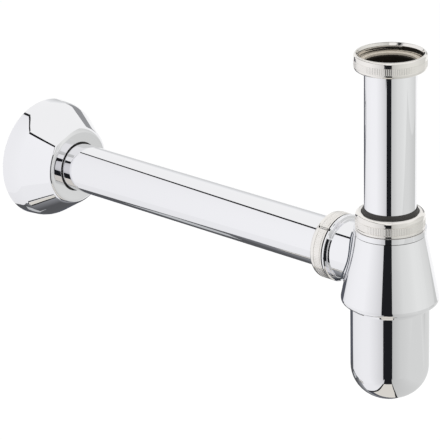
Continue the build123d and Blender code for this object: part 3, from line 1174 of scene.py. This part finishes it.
signs = ((-1, -1), (1, -1), (1, 1), (-1, 1))
sheet_of("floor", [(x * FLOOR_HALF, y * FLOOR_HALF, FLOOR_Z) for x, y in signs], floor_finish)
sun = lamp_of("soft_overhead_light", "SUN", SUN_STRENGTH)
sun.data.angle = SUN_WIDTH
sun.rotation_euler = SUN_TILT
side_lamp = lamp_of("side_lamp", "AREA", SIDE_LAMP_WATTS)
side_lamp.data.size = SIDE_LAMP_WIDTH * MM
side_lamp.location = SIDE_LAMP_PLACE * MM
side_lamp.rotation_mode = "QUATERNION"
aim = SIDE_LAMP_AIM * MM - side_lamp.location
side_lamp.rotation_quaternion = aim.to_track_quat("-Z", "Y")
print("studio with floor at", FLOOR_Z, "mm")

# %% [markdown]
# ## The gaps and sheets of the tent
# The tent is a square box of white sheets, turned so that one corner faces the camera. The
# corner is left open for the lens: that opening is the black stripe down the middle of every
# upright piece. A thin gap under the top sheet draws the fine line along the outlet tube, and
# the open end at the back left darkens the underside of the tube. Each gap and each sheet is a
# card that only reflections see: the camera, the lamps and the shadows pass it by.


# %% Cards that only reflections see
def card_finish(name, code, strength=1.0):
    material, tree = start_material(name)
    glow = put(tree, "ShaderNodeEmission", {}, {"Color": hex_to_linear(code), "Strength": strength})
    put(tree, "ShaderNodeOutputMaterial", {}, {"Surface": glow.outputs[0]})
    return material


def shaded_card_finish(name, code, direction, start_mm, end_mm, start_level, end_level):
    material = card_finish(name, code)
    tree = material.node_tree
    glow = next(node for node in tree.nodes if node.type == "EMISSION")
    place = put(tree, "ShaderNodeTexCoord").outputs["Object"]
    way = put(tree, "ShaderNodeVectorMath", {"operation": "DOT_PRODUCT"}, {0: place, 1: direction})
    sockets = {
        "Value": way.outputs["Value"],
        "From Min": start_mm * MM,
        "From Max": end_mm * MM,
        "To Min": start_level,
        "To Max": end_level,
    }
    level = put(tree, "ShaderNodeMapRange", {}, sockets).outputs["Result"]
    tree.links.new(level, glow.inputs["Strength"])
    return material


def gap_card(name, corners_mm, material):
    made = sheet_of(name, corners_mm, material)
    for ray in ("camera", "diffuse", "transmission", "volume_scatter", "shadow"):
        setattr(made, "visible_" + ray, False)
    return made


black_gap = card_finish("black_gap_card", "#1F2023")
dark_gap = card_finish("dark_gap_card", "#585A62")
haze_gap = card_finish("hazy_gap_card", "#9A9B9D")
print("made the finishes of three gaps")

# %% [markdown]
# The tent has its own two directions: along its left sheet, and across it. The black stripe
# in the photograph is a little wider on the cup and on the bell than on the tube, so narrow
# black cards stand beside the opening at its foot and at its head.

# %% The open corner and the top gap
ALONG = Vector((0.845, -0.535, 0))
ACROSS = Vector((0.535, 0.845, 0))
UPWARD = Vector((0, 0, 1))
TABLE, TENT_TOP = FLOOR_Z + 1, 600
LEFT_SHEET, RIGHT_SHEET, BACK_SHEET = -281, 500, 800
SEAM_LOW, SEAM_HIGH = 190, 258
CORNER_LEFT, CORNER_RIGHT = (410, LEFT_SHEET), (RIGHT_SHEET, -128)
FOOT_TOP, HEAD_BOTTOM = -330, -160


def tent(along, across, height):
    return ALONG * along + ACROSS * across + UPWARD * height


def upright_card(name, start, end, low, high, material):
    corners = [tent(*start, low), tent(*end, low), tent(*end, high), tent(*start, high)]
    return gap_card(name, corners, material)


before_left, before_right = LEFT_SHEET + 2, RIGHT_SHEET - 2
for name, start, end, low, high in (
    ("front_opening", CORNER_LEFT, CORNER_RIGHT, TABLE + 1, SEAM_LOW),
    ("front_opening_foot_left", (355, before_left), (410, before_left), TABLE, FOOT_TOP),
    ("front_opening_foot_right", (before_right, -128), (before_right, -110), TABLE, FOOT_TOP),
    ("front_opening_head_left", (362, before_left), (410, before_left), HEAD_BOTTOM, SEAM_LOW),
    ("top_seam", (-600, LEFT_SHEET), CORNER_LEFT, SEAM_LOW, SEAM_HIGH),
):
    upright_card(name, start, end, low, high, black_gap)
print("open corner and top gap placed")

# %% [markdown]
# The sheets are brightest where the lamps stand behind them and dimmer towards the corners and
# the foot. On a mirror that is all the shading there is: it gives each round piece its soft
# change from side to side. One card has one even change of level, so a sheet that is brightest
# in its middle takes two cards, and each of those has a head and a slightly dimmer foot.

# %% The side sheets
WHITE, GREY = "#FCFCFE", "#FDFEFC"
LEFT_SPLIT, RIGHT_SPLIT = -255, -320
LEFT_FOOT_SHARE, RIGHT_FOOT_SHARE = 0.95, 0.88
LEFT_END, LEFT_MIDDLE = (-575, LEFT_SHEET), (0, LEFT_SHEET)
RIGHT_MIDDLE = (RIGHT_SHEET, 100)
BACK_CORNER, BACK_END = (RIGHT_SHEET, BACK_SHEET), (-400, BACK_SHEET)


def tent_sheet(name, start, end, kind, first, last, levels):
    split, top, code, way, foot_share = kind
    for part, low, high, share in (("foot", TABLE, split, foot_share), ("head", split, top, 1.0)):
        dimmed = [level * share for level in levels]
        finish = shaded_card_finish(f"{name}_sheet_{part}", code, way, first, last, *dimmed)
        upright_card(f"{name}_{part}", start, end, low, high, finish)


left_kind = (LEFT_SPLIT, SEAM_LOW, WHITE, ALONG, LEFT_FOOT_SHARE)
right_kind = (RIGHT_SPLIT, TENT_TOP, GREY, ACROSS, RIGHT_FOOT_SHARE)
back_kind = (RIGHT_SPLIT, TENT_TOP, GREY, ALONG, RIGHT_FOOT_SHARE)
tent_sheet("left_far", LEFT_END, LEFT_MIDDLE, left_kind, -575, -60, (0.92, 1.04))
tent_sheet("left_near", LEFT_MIDDLE, CORNER_LEFT, left_kind, 50, 410, (1.04, 0.68))
tent_sheet("right_near", CORNER_RIGHT, RIGHT_MIDDLE, right_kind, -128, 100, (0.62, 0.80))
tent_sheet("right_far", RIGHT_MIDDLE, BACK_CORNER, right_kind, 100, 500, (0.80, 0.89))
tent_sheet("back", BACK_CORNER, BACK_END, back_kind, -300, 350, (0.74, 0.88))
print("side sheets placed")

# %% [markdown]
# The far end of the tent is open low down, which gives the dark underside of the outlet tube,
# and hazy further up. A dim sheet there draws the soft grey line along the top of that tube.

# %% The far end
far_end = shaded_card_finish("far_end_sheet", "#FDFEFF", UPWARD, 60, 900, 0.66, 1.0)
gap_card(
    "back_left_opening",
    [
        (-640, 65, TABLE),
        (-449, 450, TABLE),
        (-449, 450, -420),
        (-500, 347, -400),
        (-533, 281, -255),
        (-580, 186, -120),
        (-640, 65, 150),
    ],
    dark_gap,
)
gap_card(
    "back_haze",
    [(-1416, 1897, -76), (-542, 2226, -76), (-542, 2226, 594), (-1416, 1897, 594)],
    haze_gap,
)
gap_card(
    "far_end",
    [(-1750, 1500, -100), (-1130, 1500, -100), (-1130, 1500, 900), (-1750, 1500, 900)],
    far_end,
)
print("far end placed")

# %% [markdown]
# On the table the side sheets run on as two flat flaps, with a strip of bare table between
# them that leads from the open corner to the open end. The strip shows at the bottom of the
# cup, with a thin dark line at each flap's edge.

# %% Table cards
table_sheet = card_finish("table_sheet", "#E4E0D8")
end_patch = card_finish("pale_table_end", "#C4C6C8")
left_sheet = shaded_card_finish("white_side_flap", WHITE, ALONG, 50, 410, 0.96, 0.64)
right_sheet = shaded_card_finish("right_cove_sheet", GREY, ACROSS, -128, 300, 0.56, 0.76)
far_cove = shaded_card_finish("far_right_cove", GREY, Vector((0, 1, 0)), 560, 760, 0.80, 0.55)
table_end = shaded_card_finish("dark_table_end", "#F6F8FF", ALONG, -330, -190, 0.11, 0.36)
OPEN_LEFT, OPEN_RIGHT = (94, -286), (214, -208)
LEFT_FLAP = [OPEN_LEFT, (-52, -105), (-190, 25)]
RIGHT_FLAP = [OPEN_RIGHT, (65, -14), (-121, 193)]
FRONT_LEFT, FRONT_RIGHT = (199, -457), (356, -375)
END_FAR = [(-374, -96), (-911, 244), (-911, 480), (-600, 640)]
END_NEAR = [(-170, 235), (-121, 193), (-190, 25), (-262, -72)]
END_PATCH = [(-390, -8), (-384, 78), (-440, 106), (-520, 70), (-455, -20)]


def table_card(name, corners, lift, material):
    return gap_card(name, [(x, y, TABLE + lift) for x, y in corners], material)


for name, corners, lift, finish in (
    ("floor_opening", [OPEN_LEFT, FRONT_LEFT, FRONT_RIGHT, OPEN_RIGHT], 3, black_gap),
    ("left_flap", [FRONT_LEFT, *LEFT_FLAP, (-260, -70), (-374, -96)], 1, left_sheet),
    ("right_flap", [FRONT_RIGHT, (850, 400), (-150, 940), *RIGHT_FLAP[::-1]], 1, right_sheet),
    ("table_strip", [*LEFT_FLAP, *RIGHT_FLAP[::-1]], 0.5, table_sheet),
    ("table_corner", [(-345, -77), (-260, -131), (-244, -106), (-329, -52)], 2, table_sheet),
    ("table_end", [*END_FAR, *END_NEAR], 1.5, table_end),
    ("table_end_patch", END_PATCH, 3, end_patch),
    ("strip_end", [(-190, 25), (-128, -33), (-74, 141), (-121, 193)], 2, dark_gap),
    ("far_cove", [(250, 540), (560, 540), (560, 800), (250, 800)], 2, far_cove),
):
    table_card(name, corners, lift, finish)
print("table cards placed")

# %% [markdown]
# The photograph shows a fine dark line along the mirror image of each flap's edge, a little
# broader on the left. So a narrow dark card lies along each edge, just above the table.

# %% Dark edges of the flaps
EDGE_MM, LEFT_EDGE_MM, EDGE_LIFT = 10, 20, 4


def edge_gap(name, start, end, width_mm=EDGE_MM):
    start, end = Vector((*start, TABLE + EDGE_LIFT)), Vector((*end, TABLE + EDGE_LIFT))
    aside = (end - start).cross(UPWARD).normalized() * width_mm / 2
    return gap_card(name, [start + aside, end + aside, end - aside, start - aside], black_gap)


for side, flap, width_mm in (("left", LEFT_FLAP, LEFT_EDGE_MM), ("right", RIGHT_FLAP, EDGE_MM)):
    for count, (start, end) in enumerate(zip(flap, flap[1:])):
        edge_gap(f"{side}_flap_edge_{count}", start, end, width_mm)
edge_gap("table_corner_edge", (-355, -80), (-260, -141))
edge_gap("table_corner_end", (-332, -48), (-240, -106))
print("dark edges placed")

# %% [markdown]
# ## The size of the dressed model
# The last cell prints the size of the box round the dressed model, in millimetres. The
# dressed model has to stay in the box of the CAD part.

# %% Size of the dressed model
low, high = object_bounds()
print("visual box in mm", [round(v / MM, 1) for v in high - low])
